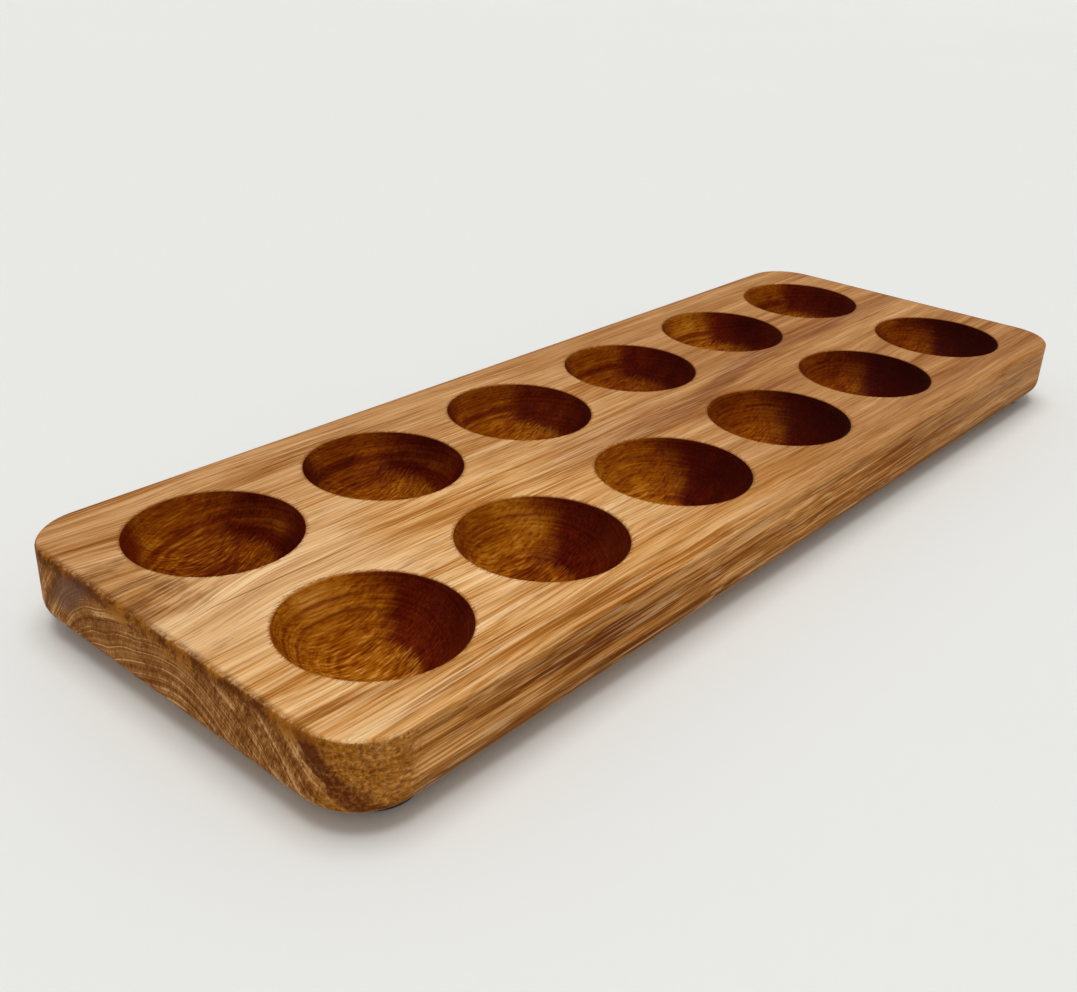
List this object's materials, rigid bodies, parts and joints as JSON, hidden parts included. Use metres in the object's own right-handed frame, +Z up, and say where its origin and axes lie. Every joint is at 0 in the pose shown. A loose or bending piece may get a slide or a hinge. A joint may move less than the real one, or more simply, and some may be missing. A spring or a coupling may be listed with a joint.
{
  "type": "egg tray",
  "caption": "Oblong solid wood tray board with rounded corners, rows of round scooped cups in its flat top, and low round rubber feet screwed to its underside.",
  "frame": {"origin": "on the surface that the feet stand on, under the centre of the board", "axes": "+X along the board and its grain, +Y across it, +Z up; the -Y long side is the front"},
  "size_m": [0.346, 0.1234, 0.023],
  "materials": {
    "oiled_wood": "satin, oiled",
    "black_rubber": "matte",
    "screw_steel": "satin"
  },
  "bodies": {
    "root": {"board": "oiled_wood", "foot_front_left": "black_rubber", "foot_front_right": "black_rubber", "foot_back_left": "black_rubber", "foot_back_right": "black_rubber", "foot_screws": "screw_steel"}
  },
  "joints": []
}
